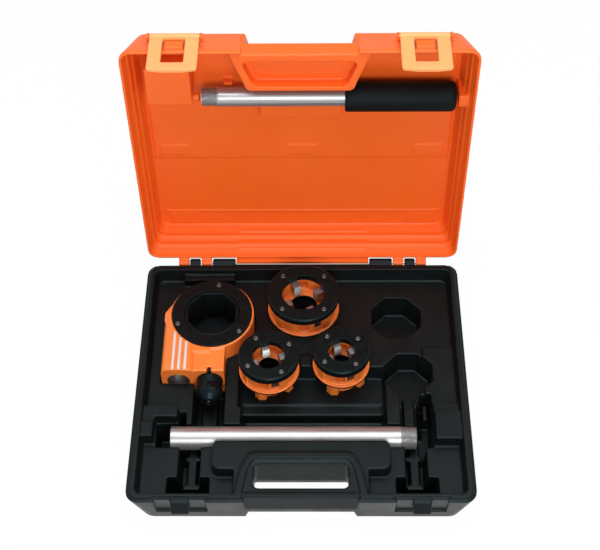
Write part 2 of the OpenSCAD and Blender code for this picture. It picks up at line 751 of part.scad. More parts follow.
module ratchet_body() {
    color(paint_orange) difference() {
        union() {
            translate([ratchet_x, ratchet_y, ratchet_z]) cylinder(r = housing_r, h = body_h);
            // Handle boss with round edges along its length, and the web up to the housing
            translate([boss_x, ratchet_y + 2, ratchet_mid_z]) rotate([90, 0, 0])
                linear_extrude(ratchet_y + 2 - boss_front) round_rect(boss_w, boss_h, 9);
            translate([0, 0, ratchet_z]) linear_extrude(body_h) polygon([[boss_x - boss_w / 2, ratchet_y - 10],
                [boss_x - boss_w / 2, ratchet_y + 2], [ratchet_x - housing_r + 6, ratchet_y + 22],
                [ratchet_x, ratchet_y], [stem_x, 30], [boss_x, 30]]);
            // Pawl stem
            block([stem_x - stem_w / 2, stem_front, ratchet_z], [stem_x + stem_w / 2, ratchet_y, stem_top]);
        }
        translate([ratchet_x, ratchet_y, ratchet_z + lip_t]) cylinder(r = tooth_tip_r + ring_play, h = body_h);
        translate([ratchet_x, ratchet_y, ratchet_z - eps]) cylinder(r = cover_hole_r, h = body_h);
        translate([ratchet_x, ratchet_y, cover_z]) cylinder(r = cover_r + 0.2, h = body_h);
        along_y(boss_x, boss_front - eps, ratchet_mid_z) cylinder(r = socket_r, h = socket_depth + eps);
        along_y(boss_x, boss_front, ratchet_mid_z)
            cylinder(r1 = socket_r + socket_mouth, r2 = socket_r, h = socket_mouth);
        along_y(stem_x, stem_front - eps, ratchet_mid_z)
            cylinder(r = pawl_bore_r, h = ratchet_y - tooth_tip_r - stem_front + eps);
        along_y(stem_x, stem_front, ratchet_mid_z) cylinder(r1 = cone_r, r2 = pawl_bore_r, h = cone_l);
        block([stem_x - key_slot_w / 2, stem_front - eps, ratchet_mid_z],
              [stem_x + key_slot_w / 2, stem_front + key_slot_l, stem_top + eps]);
        cover_screw_places() translate([0, 0, -8]) cylinder(r = screw_hole_r, h = 8 + eps);
        for (i = [-1, 0, 1]) stripe(i, 2 * stripe_t);
    }
}

// Light bars let into the top of the handle boss, which run up to the black cover ring
stripe_w = 3.2;
stripe_t = 0.6;
stripe_step = 7.4;
stripe_shift = 1.5;
stripe_front = boss_front + 1.5;
stripe_gap = 0.8;
module stripe(i, h) {
    across = stripe_shift + i * stripe_step;
    back = ratchet_y - sqrt(pow(cover_r + stripe_gap, 2) - pow(boss_offset - across - stripe_w / 2, 2));
    translate([boss_x + across - stripe_w / 2, stripe_front, ratchet_mid_z + boss_h / 2 - stripe_t])
        cube([stripe_w, back - stripe_front, h]);
}

module boss_stripes() {
    color(stripe_grey) for (i = [-1, 0, 1]) stripe(i, 1.5 * stripe_t);
}

module ratchet_cover_ring() {
    color(satin_black) difference() {
        translate([ratchet_x, ratchet_y, cover_z]) cylinder(r = cover_r, h = cover_t);
        translate([ratchet_x, ratchet_y, cover_z - eps]) cylinder(r = cover_hole_r, h = cover_t + 2 * eps);
        cover_screw_places() translate([0, 0, -eps]) cylinder(r = screw_hole_r, h = cover_t + 2 * eps);
        cover_screw_places() translate([0, 0, cover_t - screw_sink]) cylinder(r = screw_head_r + head_gap, h = cover_t);
    }
}

// Screw with a hexagon socket, its head standing on z = 0 and its shank below
screw_sink = 1.6;
screw_head_h = 1.9;
head_gap = 0.3;
module cap_screw(shank_l) {
    difference() {
        union() {
            translate([0, 0, -shank_l]) cylinder(r = screw_r, h = shank_l);
            cylinder(r = screw_head_r, h = screw_head_h);
        }
        translate([0, 0, screw_head_h - 1.2]) cylinder(r = screw_head_r / 2, h = 2, $fn = 6);
    }
}

module ratchet_cover_screws() {
    color(steel) cover_screw_places() translate([0, 0, cover_t - screw_sink]) cap_screw(7);
}

// Toothed ring with an octagonal socket for the die heads, and a collar that turns in the cover ring
tooth_w = 3.4;
collar_gap = 0.6;
module ratchet_ring() {
    collar_h = cover_z + cover_t - ring_play - ring_z;
    color(satin_black) translate([ratchet_x, ratchet_y, ring_z]) difference() {
        union() {
            cylinder(r = tooth_root_r, h = ring_h);
            cylinder(r = cover_hole_r - collar_gap, h = collar_h);
            intersection() {
                cylinder(r = tooth_tip_r, h = ring_h);
                for (i = [0:tooth_count - 1]) rotate(360 / tooth_count * (i + 0.5))
                    translate([tooth_root_r - 2, -tooth_w / 2, 0]) cube([tooth_tip_r, tooth_w, ring_h]);
            }
        }
        translate([0, 0, -eps]) linear_extrude(collar_h + 2 * eps) octagon(drive_af + 2 * drive_gap);
    }
}

// Pawl: a round head with a bevelled tip between the teeth, on a rod that runs out to the knob
pawl_face = ratchet_y - tooth_tip_r - 0.8;
pawl_back = pawl_face - pawl_head_l;
pawl_tip_l = 2.6;
knob_gap = 0.6;
knob_back = stem_front - knob_gap;
knob_front = knob_back - knob_l;
rod_in_knob = knob_l - 8;
bush_y = stem_front + cone_l;
bush_l = 6;
bush_fit = 0.03;
washer_t = 1.2;
module pawl() {
    color(steel) {
        along_y(stem_x, pawl_back, ratchet_mid_z) cylinder(r = pawl_r, h = pawl_head_l);
        difference() {
            along_y(stem_x, pawl_face - eps, ratchet_mid_z) cylinder(r = pawl_tip_r, h = pawl_tip_l + eps);
            translate([stem_x, pawl_face + pawl_tip_l, ratchet_mid_z]) rotate(-45)
                translate([0, -pawl_tip_r, -pawl_r]) cube(2 * pawl_r);
        }
        along_y(stem_x, knob_back - rod_in_knob, ratchet_mid_z)
            cylinder(r = pawl_rod_r, h = pawl_back - knob_back + rod_in_knob + eps);
    }
}

module pawl_washer() {
    color(steel) difference() {
        along_y(stem_x, pawl_back - washer_t - fit_gap, ratchet_mid_z) cylinder(r = pawl_r - 0.4, h = washer_t);
        along_y(stem_x, pawl_back - washer_t - eps, ratchet_mid_z)
            cylinder(r = pawl_rod_r + fit_gap, h = washer_t + 2 * eps);
    }
}

// Round wire wound as a helix between the bush and the washer
spring_end_gap = 0.3;
spring_low = bush_y + bush_l + spring_end_gap;
spring_high = pawl_back - washer_t - fit_gap - spring_end_gap;
spring_r = (pawl_rod_r + pawl_r) / 2;
spring_steps = 12;
spring_sides = 6;
spring_rise = (spring_high - spring_low - 2 * spring_wire_r) / spring_turns;
function spring_point(i, j) =
    let (a = 360 * i / spring_steps, b = 360 * j / spring_sides, r = spring_r + spring_wire_r * cos(b))
    [r * cos(a), r * sin(a), spring_wire_r + spring_rise * i / spring_steps + spring_wire_r * sin(b)];
module pawl_spring() {
    n = spring_turns * spring_steps;
    m = spring_sides;
    points = [for (i = [0:n], j = [0:m - 1]) spring_point(i, j)];
    sides = [for (i = [0:n - 1], j = [0:m - 1], h = [0, 1]) let (k = (j + 1) % m)
        h == 0 ? [i * m + j, (i + 1) * m + k, i * m + k] : [i * m + j, (i + 1) * m + j, (i + 1) * m + k]];
    ends = [for (j = [1:m - 2], h = [0, 1]) h == 0 ? [0, j, j + 1] : [n * m, n * m + j + 1, n * m + j]];
    color(steel) along_y(stem_x, spring_low, ratchet_mid_z) polyhedron(points, concat(sides, ends));
}

module pawl_bush() {
    color(satin_black) difference() {
        along_y(stem_x, bush_y, ratchet_mid_z) cylinder(r = pawl_bore_r - bush_fit, h = bush_l);
        along_y(stem_x, bush_y - eps, ratchet_mid_z) cylinder(r = pawl_rod_r + fit_gap, h = bush_l + 2 * eps);
    }
}

// Knob: a cone that nests in the stem, a fluted ridge and a front that tapers to a flat end with a screw
nose_l = 3;
nose_gap = 0.7;
flute_r = 4;
flute_depth = 1.2;
ridge_l = 12.5;
module pawl_knob() {
    nose_r = pawl_bore_r + (cone_r - pawl_bore_r) * (cone_l - nose_l) / cone_l - nose_gap;
    root_r = cone_r - nose_gap;
    end_r = knob_r / 2 - 0.9;
    along_y(stem_x, knob_front, ratchet_mid_z) color(satin_black) difference() {
        rotate_extrude() polygon([[0, 0], [end_r, 0], [end_r + 1.5, 1.2], [knob_r - 3.6, 6], [knob_r - 1, ridge_l - 2.5],
            [knob_r, ridge_l], [knob_r - 0.6, ridge_l + 2], [root_r - 1, knob_l / 2 + ridge_l / 2], [root_r, knob_l],
            [nose_r, knob_l + nose_l], [0, knob_l + nose_l]]);
        for (i = [0:7]) rotate(45 * i) translate([knob_r + flute_r - flute_depth, 0, -eps])
            cylinder(r = flute_r, h = ridge_l + 6);
        translate([0, 0, knob_l - rod_in_knob]) cylinder(r = pawl_rod_r, h = knob_l + nose_l);
        translate([0, 0, -eps]) cylinder(r = screw_hole_r, h = knob_l - rod_in_knob + 2 * eps);
        translate([0, 0, -eps]) cylinder(r = screw_head_r + head_gap, h = screw_sink + eps);
    }
}

module knob_screw() {
    color(steel) translate([stem_x, knob_front + screw_sink, ratchet_mid_z]) rotate([90, 0, 0])
        cap_screw(knob_l - rod_in_knob - screw_sink - fit_gap);
}

// Die heads, counted from the large one to the small one
die_r = [large_r, medium_r, small_r];
die_bore_r = [large_bore_r, medium_bore_r, small_bore_r];
pipe_r = [large_pipe_r, medium_pipe_r, small_pipe_r];
die_spool_h = [large_spool_h, spool_h, spool_h];
flange_z = tray_z + seat_gap;
waist_in = 4;
cover_in = 0.2;
cover_bevel = 1.5;
lobe_w = 10;
chaser_lag = 18;
window_lag = 26;
window_side = 12;
window_edge = 4;
guide_gap = 0.6;
chamber_gap = 1;
chamber_floor = 2;
thread_reach = 9;
function spool_top(i) = flange_z + flange_t + die_spool_h[i];
function waist_r(i) = die_r[i] - waist_in;
function screw_circle(i) = (die_bore_r[i] + die_r[i]) / 2 + 0.8;
module at_die(i, turn, z) {
    translate([die_places[i].x, die_places[i].y, z]) rotate(turn) children();
}
module at_die_screws(i, z) {
    for (k = [0:3]) at_die(i, die_turns[i] + 90 * k, z) translate([screw_circle(i), 0, 0]) children();
}

// Drive: a round core with lugs at four corners of the octagon, which lies square in the tray
lug_w = 15;
core_in = 6.5;
module die_drive() {
    intersection() {
        octagon(drive_af);
        union() {
            circle(drive_af / 2 - core_in);
            for (a = [-22.5, 67.5]) rotate(a) square([2 * drive_af, lug_w], center = true);
        }
    }
}

// Body: drive, flange and a spool with slots for the chasers and open gaps for the chips
module die_body(i) {
    spool_z = flange_z + flange_t;
    chamber_r = die_bore_r[i] + chamber_gap;
    color(paint_orange) difference() {
        union() {
            at_die(i, 0, flange_z - drive_l) linear_extrude(drive_l + eps) die_drive();
            at_die(i, 0, flange_z) cylinder(r = die_r[i], h = flange_t);
            at_die(i, die_turns[i], spool_z - eps) linear_extrude(die_spool_h[i] + eps) {
                lobes = 2 * waist_r(i) + waist_in;
                circle(waist_r(i));
                square([lobes, lobe_w], center = true);
                square([lobe_w, lobes], center = true);
            }
        }
        at_die(i, 0, flange_z - drive_l - eps) cylinder(r = pipe_r[i] + guide_gap, h = base_h);
        at_die(i, 0, spool_z + chamber_floor) cylinder(r = chamber_r, h = base_h);
        for (k = [0:3]) at_die(i, die_turns[i] - chaser_lag + 90 * k, 0) {
            // Slot of a chaser, and the gap beside it
            translate([pipe_r[i], -chaser_w / 2 - fit_gap, spool_top(i) - chaser_h])
                cube([die_r[i], chaser_w + 2 * fit_gap, chaser_h + eps]);
            rotate(-window_lag) translate([chamber_r - 2, -window_side / 2, spool_z + window_edge])
                cube([die_r[i], window_side, die_spool_h[i] - 2 * window_edge]);
        }
        at_die_screws(i, spool_top(i) - thread_reach) cylinder(r = screw_hole_r, h = thread_reach + eps);
    }
}

module die_cover(i) {
    outer_r = die_r[i] - cover_in;
    color(satin_black) difference() {
        at_die(i, 0, spool_top(i)) rotate_extrude()
            polygon([[die_bore_r[i], 0], [outer_r, 0], [outer_r, die_cover_t - cover_bevel],
                     [outer_r - cover_bevel, die_cover_t], [die_bore_r[i], die_cover_t]]);
        at_die_screws(i, spool_top(i) - eps) cylinder(r = screw_hole_r, h = die_cover_t + 2 * eps);
        at_die_screws(i, spool_top(i) + die_cover_t - screw_sink) cylinder(r = screw_head_r + head_gap, h = die_cover_t);
    }
}

// Four thread chasers with teeth on their inner ends
chaser_teeth = 6;
tooth_in = 0.9;
tooth_depth = 1.2;
module die_chasers(i) {
    pitch = chaser_h / chaser_teeth;
    tip = pipe_r[i] - tooth_in;
    back = waist_r(i) - 1;
    color(steel) for (k = [0:3]) at_die(i, die_turns[i] - chaser_lag + 90 * k, spool_top(i) - chaser_h)
        translate([0, chaser_w / 2, 0]) rotate([90, 0, 0]) linear_extrude(chaser_w)
            polygon(concat([[back, 0], [back, chaser_h - seat_gap]],
                [for (j = [chaser_teeth - 1:-1:0], h = [0.75, 0.25])
                    [h > 0.5 ? tip + tooth_depth : tip, pitch * (j + h)]]));
}

module die_screws(i) {
    color(steel) at_die_screws(i, spool_top(i) + die_cover_t - screw_sink) cap_screw(die_cover_t + 4);
}

// Handle: a long tube with a tapped end and a threaded end, and a short tube with a rubber grip
tapped_l = thread_l + 4;
module handle_tube() {
    color(steel) translate([tube_x, tube_y, tube_z]) rotate([0, 90, 0]) difference() {
        union() {
            cylinder(r = tube_r, h = tube_l - thread_l);
            cylinder(r = tube_r - thread_t, h = tube_l);
        }
        translate([0, 0, -eps]) cylinder(r = tube_r - tube_wall, h = tube_l + 2 * eps);
        translate([0, 0, -eps]) cylinder(r = grip_tube_r - thread_t / 2, h = tapped_l + eps);
    }
}

// Solid rubber behind the end of the tube inside the grip
grip_plug = 12;
module grip_tube() {
    inside = grip_l - grip_plug;
    color(steel) opened() translate([grip_tube_x, grip_tube_y, grip_tube_z]) rotate([0, 90, 0]) difference() {
        union() {
            translate([0, 0, thread_l]) cylinder(r = grip_tube_r, h = grip_tube_free + inside - thread_l);
            cylinder(r = grip_tube_r - thread_t, h = thread_l + eps);
        }
        translate([0, 0, -eps]) cylinder(r = grip_tube_r - grip_tube_wall, h = grip_tube_free + inside + 2 * eps);
    }
}

module handle_grip() {
    color(rubber_black) opened() translate([grip_end - grip_l, grip_tube_y, grip_tube_z]) rotate([0, 90, 0])
        difference() {
            rotate_extrude() polygon([[0, 0], [grip_r - 1.5, 0], [grip_r, 1.5], [grip_r, grip_l - 5],
                                      [grip_r - 2, grip_l - 1.5], [grip_r - 5, grip_l], [0, grip_l]]);
            translate([0, 0, -eps]) cylinder(r = grip_tube_r, h = grip_l - grip_plug + eps);
        }
}

base_shell();
base_tray();
lid_shell();
hinge_pin(-1);  // hinge_pin_left
hinge_pin(1);  // hinge_pin_right
latch(-latch_x);  // latch_left
latch(latch_x);  // latch_right
latch_pin(-latch_x);  // latch_pin_left
latch_pin(latch_x);  // latch_pin_right
ratchet_body();
ratchet_cover_ring();
ratchet_cover_screws();
ratchet_ring();
boss_stripes();
pawl();
pawl_washer();
pawl_spring();
pawl_bush();
pawl_knob();
knob_screw();
die_body(0);  // large_die_body
die_cover(0);  // large_die_cover
die_chasers(0);  // large_die_chasers
die_screws(0);  // large_die_screws
die_body(1);  // medium_die_body
die_cover(1);  // medium_die_cover
die_chasers(1);  // medium_die_chasers
die_screws(1);  // medium_die_screws
die_body(2);  // small_die_body
die_cover(2);  // small_die_cover
die_chasers(2);  // small_die_chasers
die_screws(2);  // small_die_screws
handle_tube();
grip_tube();
handle_grip();
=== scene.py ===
import math

import bmesh
import bpy
import numpy as np
from mathutils import Matrix, Vector


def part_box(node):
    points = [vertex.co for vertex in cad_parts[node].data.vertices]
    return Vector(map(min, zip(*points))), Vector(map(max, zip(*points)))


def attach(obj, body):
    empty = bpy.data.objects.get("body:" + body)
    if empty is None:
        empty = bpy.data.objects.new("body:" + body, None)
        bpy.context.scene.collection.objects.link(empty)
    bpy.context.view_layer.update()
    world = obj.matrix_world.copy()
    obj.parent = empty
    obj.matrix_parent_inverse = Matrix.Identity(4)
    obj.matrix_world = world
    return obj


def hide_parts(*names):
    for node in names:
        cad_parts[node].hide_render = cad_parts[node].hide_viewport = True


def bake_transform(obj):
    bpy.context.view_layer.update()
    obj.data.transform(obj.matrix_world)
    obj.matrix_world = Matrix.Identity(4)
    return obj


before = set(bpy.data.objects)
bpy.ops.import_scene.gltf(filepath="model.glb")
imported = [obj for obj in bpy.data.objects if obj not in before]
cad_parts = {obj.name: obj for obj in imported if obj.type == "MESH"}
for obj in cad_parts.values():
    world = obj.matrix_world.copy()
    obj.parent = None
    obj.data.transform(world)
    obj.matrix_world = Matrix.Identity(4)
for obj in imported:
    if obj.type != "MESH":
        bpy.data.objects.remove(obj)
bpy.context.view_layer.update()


# Case base: one double-walled blow moulding of black polyethylene. Its inner wall is the tray for the tools.
# The soft wall stretches over the mould, so every edge is round and the skin has a fine grain.
def rounded(name, nodes, voxel, passes, triangles):
    """Copy of CAD solids with round edges: the joined solids are meshed anew on cubes of one voxel, each
    point then moves half-way to the mean of its neighbours once for each pass, and flat parts are thinned
    until the wanted number of triangles is left."""
    solid = bmesh.new()
    for node in nodes:
        solid.from_mesh(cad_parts[node].data)
    bmesh.ops.remove_doubles(solid, verts=solid.verts, dist=1e-6)
    piece = bpy.data.objects.new(name, bpy.data.meshes.new(name))
    solid.to_mesh(piece.data)
    solid.free()
    bpy.context.scene.collection.objects.link(piece)
    cubes = piece.modifiers.new("voxels", "REMESH")
    cubes.mode = "VOXEL"
    cubes.voxel_size = voxel
    soften = piece.modifiers.new("soften", "SMOOTH")
    soften.iterations = passes
    settle(piece)
    thin = piece.modifiers.new("thin", "DECIMATE")
    thin.ratio = min(1.0, triangles / (2 * len(piece.data.polygons)))
    settle(piece)
    even = piece.modifiers.new("even", "WEIGHTED_NORMAL")
    even.keep_sharp = False
    return piece


def settle(piece):
    """The mesh with its modifiers worked in."""
    bpy.context.view_layer.update()
    graph = bpy.context.evaluated_depsgraph_get()
    piece.data = bpy.data.meshes.new_from_object(piece.evaluated_get(graph))
    piece.data.name = piece.name
    piece.modifiers.clear()
    piece.data.shade_smooth()


def grained(
    name,
    shades,
    patch,
    roughness,
    grain,
    depth,
    metallic=0.0,
    specular=0.5,
    tint=(1, 1, 1),
    stretch=(1, 1, 1),
):
    """Finish whose colour and roughness drift between two ends over patches of one length, while its height
    follows a grain of another length. Both are noise on Object coordinates, which a stretch draws out. A
    tint colours the shine."""
    material = bpy.data.materials.new(name)
    material.use_nodes = True
    nodes, links = material.node_tree.nodes, material.node_tree.links
    shader = nodes["Principled BSDF"]
    shader.inputs["Metallic"].default_value = metallic
    shader.inputs["Specular IOR Level"].default_value = specular
    shader.inputs["Specular Tint"].default_value = (*tint, 1)
    place = nodes.new("ShaderNodeTexCoord")
    drawn = nodes.new("ShaderNodeMapping")
    drawn.inputs["Scale"].default_value = stretch
    links.new(place.outputs["Object"], drawn.inputs["Vector"])
    drift = nodes.new("ShaderNodeTexNoise")
    drift.inputs["Scale"].default_value = 1 / patch
    drift.inputs["Detail"].default_value = 5
    links.new(drawn.outputs["Vector"], drift.inputs["Vector"])
    shade = nodes.new("ShaderNodeMix")
    shade.data_type = "RGBA"
    shade.inputs[6].default_value = (*shades[0], 1)
    shade.inputs[7].default_value = (*shades[1], 1)
    links.new(drift.outputs["Fac"], shade.inputs[0])
    links.new(shade.outputs[2], shader.inputs["Base Color"])
    fine = nodes.new("ShaderNodeTexNoise")
    fine.inputs["Scale"].default_value = 1 / grain
    fine.inputs["Detail"].default_value = 3
    links.new(drawn.outputs["Vector"], fine.inputs["Vector"])
    gloss = nodes.new("ShaderNodeMapRange")
    gloss.inputs["From Min"].default_value = 0.3
    gloss.inputs["From Max"].default_value = 0.7
    gloss.inputs["To Min"].default_value = roughness[0]
    gloss.inputs["To Max"].default_value = roughness[1]
    links.new(drift.outputs["Fac"], gloss.inputs["Value"])
    links.new(gloss.outputs["Result"], shader.inputs["Roughness"])
    bump = nodes.new("ShaderNodeBump")
    bump.inputs["Strength"].default_value = 0.5
    bump.inputs["Distance"].default_value = depth
    links.new(fine.outputs["Fac"], bump.inputs["Height"])
    links.new(bump.outputs["Normal"], shader.inputs["Normal"])
    return material


black_moulding = grained(
    "black_moulding",
    shades=((0.0038, 0.0047, 0.0049), (0.0062, 0.0074, 0.0077)),
    patch=0.03,
    roughness=(0.28, 0.40),
    grain=0.0009,
    depth=0.00012,
    specular=0.14,
    tint=(0.72, 0.93, 1.0),
)
base = rounded("case_base", ["base_shell", "base_tray"], voxel=0.001, passes=9, triangles=195000)
base.data.materials.append(black_moulding)
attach(base, "base")
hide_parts("base_shell", "base_tray")

# Lid: an orange blow moulding, thinner than the base, with the handle block, the rests for the grip tube and
# the bosses for the latches moulded in. Its half of the hinges is part of it.
orange_moulding = grained(
    "orange_moulding",
    shades=((0.83, 0.120, 0.013), (0.87, 0.137, 0.015)),
    patch=0.05,
    roughness=(0.36, 0.46),
    grain=0.0011,
    depth=0.00010,
    specular=0.3,
)
lid = rounded("case_lid", ["lid_shell"], voxel=0.001, passes=7, triangles=195000)
lid.data.materials.append(orange_moulding)
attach(lid, "lid")
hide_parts("lid_shell")


# Hinge and latch pins: drawn steel rods, two through the knuckles of base and lid and one through each latch.
# Their ends are rounded off, and they are pressed in.
def skin(name, grids, wrap_rows=False):
    """Closed mesh from grids of points, each held as (row, column, xyz): a quad between neighbours, with the
    last column joined to the first, and the last row too where rows wrap. Rows that shrink to a point close
    the ends."""
    points, quads, used = [], [], 0
    for grid in grids:
        index = used + np.arange(grid.shape[0] * grid.shape[1]).reshape(grid.shape[:2])
        used += index.size
        index = np.concatenate([index, index[:, :1]], axis=1)
        if wrap_rows:
            index = np.concatenate([index, index[:1]], axis=0)
        quad = np.stack([index[:-1, :-1], index[:-1, 1:], index[1:, 1:], index[1:, :-1]], axis=-1)
        points.append(grid.reshape(-1, 3))
        quads.append(quad.reshape(-1, 4))
    piece = bpy.data.objects.new(name, bpy.data.meshes.new(name))
    piece.data.from_pydata(np.vstack(points).tolist(), [], np.vstack(quads).tolist())
    solid = bmesh.new()
    solid.from_mesh(piece.data)
    bmesh.ops.remove_doubles(solid, verts=solid.verts, dist=2e-6)
    bmesh.ops.recalc_face_normals(solid, faces=solid.faces)
    solid.to_mesh(piece.data)
    solid.free()
    piece.data.shade_smooth()
    piece.data.set_sharp_from_angle(angle=math.radians(38))
    bpy.context.scene.collection.objects.link(piece)
    return piece


def softened(corners, radius, steps=4):
    """Profile through corners with each inner corner rounded: a parabola from one radius before the corner to
    one radius after it, or less where the sides are short."""
    corners = np.asarray(corners, float)
    before, at, after = corners[:-2], corners[1:-1], corners[2:]
    reach_in = np.linalg.norm(before - at, axis=1, keepdims=True)
    reach_out = np.linalg.norm(after - at, axis=1, keepdims=True)
    start = at + (before - at) / reach_in * np.minimum(radius, 0.45 * reach_in)
    end = at + (after - at) / reach_out * np.minimum(radius, 0.45 * reach_out)
    t = np.linspace(0, 1, steps + 1)[None, :, None]
    curve = (1 - t) ** 2 * start[:, None] + 2 * t * (1 - t) * at[:, None] + t**2 * end[:, None]
    return np.vstack([corners[:1], curve.reshape(-1, 2), corners[-1:]])


def around(along, radius, centre, axis):
    """Grid of rings about an axis through a centre: each row lies at one distance along the axis, and its
    columns are radii at even steps of turn."""
    radius = np.broadcast_to(radius, np.broadcast_shapes(np.shape(radius), (len(along), 1)))
    turn = np.linspace(0, 2 * np.pi, radius.shape[1], endpoint=False)
    first, second = radius * np.cos(turn), radius * np.sin(turn)
    along = np.repeat(np.reshape(along, (-1, 1)), radius.shape[1], axis=1)
    ring = {"x": (along, first, second), "y": (second, along, first), "z": (first, second, along)}[axis]
    return np.stack(ring, axis=-1) + np.asarray(centre, float)


def turned(profile, centre, axis, columns=64):
    """Grid of a turned form: each (along, radius) of the profile becomes a ring about the axis."""
    profile = np.asarray(profile, float)
    return around(profile[:, 0], np.repeat(profile[:, 1:], columns, axis=1), centre, axis)


def middle(node):
    """Half-way point of a CAD node's box, and half its size."""
    low, high = (np.array(corner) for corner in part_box(node))
    return (low + high) / 2, (high - low) / 2


pin_steel = grained(
    "pin_steel",
    shades=((0.50, 0.50, 0.51), (0.60, 0.60, 0.60)),
    patch=0.002,
    roughness=(0.22, 0.36),
    grain=0.0003,
    depth=0.00002,
    metallic=1.0,
)
for node, body in (
    ("hinge_pin_left", "base"),
    ("hinge_pin_right", "base"),
    ("latch_pin_left", "lid"),
    ("latch_pin_right", "lid"),
):
    place, half = middle(node)
    reach, girth = half[0], half[1]
    rod = softened([(-reach, 0), (-reach, girth), (reach, girth), (reach, 0)], radius=0.0007)
    pin = skin(node.replace("pin", "rod"), [turned(rod, place, "x", columns=32)])
    pin.data.materials.append(pin_steel)
    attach(pin, body)
    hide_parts(node)


# Latches: two pale orange mouldings on the lid, each a slightly bowed plate with a window that drops over its
# catch, a thumb lip at its free edge and a barrel that turns on the pivot pin.
def loop(corners, radius, arc=5, side=10):
    """Closed path through corners: a parabola of one radius at each corner, then even points along the side
    to the next, so that paths with as many corners have as many points."""
    at = np.asarray(corners, float)
    before, after = np.roll(at, 1, axis=0), np.roll(at, -1, axis=0)
    start = at + (before - at) / np.linalg.norm(before - at, axis=1, keepdims=True) * radius
    end = at + (after - at) / np.linalg.norm(after - at, axis=1, keepdims=True) * radius
    t = np.linspace(0, 1, arc + 1)[None, :, None]
    bend = (1 - t) ** 2 * start[:, None] + 2 * t * (1 - t) * at[:, None] + t**2 * end[:, None]
    t = np.linspace(0, 1, side + 1)[None, 1:-1, None]
    straight = (1 - t) * end[:, None] + t * np.roll(start, -1, axis=0)[:, None]
    return np.concatenate([bend, straight], axis=1).reshape(-1, 2)


def on_open_lid(points):
    """Points of the closed case, turned about the hinge line to where the open lid holds them."""
    turn, back, height = math.radians(-91.6), 0.178, 0.057
    y, z = points[..., 1] - back, points[..., 2] - height
    y, z = math.cos(turn) * y - math.sin(turn) * z, math.sin(turn) * y + math.cos(turn) * z
    return np.stack([points[..., 0], back + y, height + z], axis=-1)


def eased(values, low, high):
    """0 up to the low end, 1 from the high end on and a smooth rise between them."""
    t = np.clip((values - low) / (high - low), 0, 1)
    return t * t * (3 - 2 * t)


def latch(middle_x):
    """Plate as a grid of cross-sections, a round-cornered strip from the window's loop out to the outline's
    loop, at each point of the loops. The plate bows out in the middle, by less with the square of the
    distance from it, and the lip stands out further. The barrel is turned about the pivot."""
    pivot_y, pivot_z = -0.1752, 0.0826
    half_w, half_t, edge = 0.0275, 0.002, 0.0009
    bow_out, lip_out = 0.0011, 0.0014
    outline = loop([(-27.5, 83), (27.5, 83), (27.5, 27), (11, 23.2), (-11, 23.2), (-27.5, 27)], 2.2) / 1000
    window = loop([(-12, 76.6), (12, 76.6), (12, 37), (4.5, 37), (-4.5, 37), (-12, 37)], 1.2) / 1000
    across = outline - window
    width = np.linalg.norm(across, axis=1)
    bend = np.radians([0, 30, 60, 90])
    out = np.linspace(0, 1, 9)
    share = np.concatenate([out, np.ones(4), out[::-1], np.zeros(4)])
    inset = edge * np.concatenate([1 - 2 * out, np.sin(bend) - 1, 2 * out - 1, 1 - np.sin(bend)])
    turn_in = edge * (1 - np.cos(bend))
    depth = np.concatenate([np.full(9, -half_t), turn_in - half_t, np.full(9, half_t), half_t - turn_in])
    reach = share[:, None] * width + inset[:, None]
    flat = window + across / width[:, None] * reach[..., None]
    x, z = flat[..., 0], flat[..., 1]
    bow = bow_out * (1 - (x / half_w) ** 2)
    lip = lip_out * (1 - eased(z, 0.029, 0.036)) * (1 - eased(np.abs(x), 0.009, 0.014))
    y = pivot_y + depth[:, None] - bow - lip * (depth[:, None] < 0)
    plate = np.stack([middle_x + x, y, z], axis=-1)
    bore, girth = 0.00158, 0.004
    tube = [(0, bore), (-half_w, bore), (-half_w, girth), (half_w, girth), (half_w, bore), (0, bore)]
    barrel = turned(softened(tube, radius=0.0006), (middle_x, pivot_y, pivot_z), "x", columns=40)
    return [on_open_lid(plate), on_open_lid(barrel)]


pale_moulding = grained(
    "pale_moulding",
    shades=((0.90, 0.33, 0.105), (0.94, 0.38, 0.125)),
    patch=0.02,
    roughness=(0.32, 0.42),
    grain=0.0012,
    depth=0.00006,
    specular=0.45,
)
for side, middle_x in (("left", -0.138), ("right", 0.138)):
    plate = skin(f"{side}_latch_plate", latch(middle_x), wrap_rows=True)
    plate.data.materials.append(pale_moulding)
    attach(plate, f"{side}_latch")
    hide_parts(f"latch_{side}")


# Skirt and ledge: the strip of the lid that hangs between its hinges, and the ledge of the base that it
# closes on. Both are moulded on, with sharper edges than the rest.
def bar(low, high, edge):
    """Bar with round edges: rows rise from the middle of the underside to the middle of the top, and each row
    is the outline drawn in by what the round edge takes off at its height."""
    low, high = np.asarray(low, float), np.asarray(high, float)
    centre, half = (low + high) / 2, (high - low) / 2
    bend = np.radians([0, 30, 60, 90])
    inset = np.concatenate([edge * (1 - np.sin(bend)), edge * (1 - np.cos(bend))])
    height = np.concatenate([low[2] + edge * (1 - np.cos(bend)), high[2] - edge * (1 - np.sin(bend))])
    shape = loop(np.array([(-1, -1), (1, -1), (1, 1), (-1, 1)]) * half[:2], 1.2 * edge, 4, 3)
    share = 1 - inset[:, None, None] / half[:2]
    flat = centre[:2] + shape * np.concatenate([0 * share[:1], share, 0 * share[:1]])
    height = np.concatenate([height[:1], height, height[-1:]])
    return np.concatenate([flat, np.broadcast_to(height[:, None, None], (*flat.shape[:2], 1))], axis=-1)


strip = bar((-0.0859, 0.17405, 0.0552), (0.0859, 0.17855, 0.0655), edge=0.0003)
skirt = skin("lid_skirt_strip", [on_open_lid(strip)])
skirt.data.materials.append(orange_moulding)
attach(skirt, "lid")
strip = bar((-0.0865, 0.1700, 0.0501), (0.0865, 0.17745, 0.05445), edge=0.0003)
ledge = skin("base_ledge_strip", [strip])
ledge.data.materials.append(black_moulding)
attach(ledge, "base")

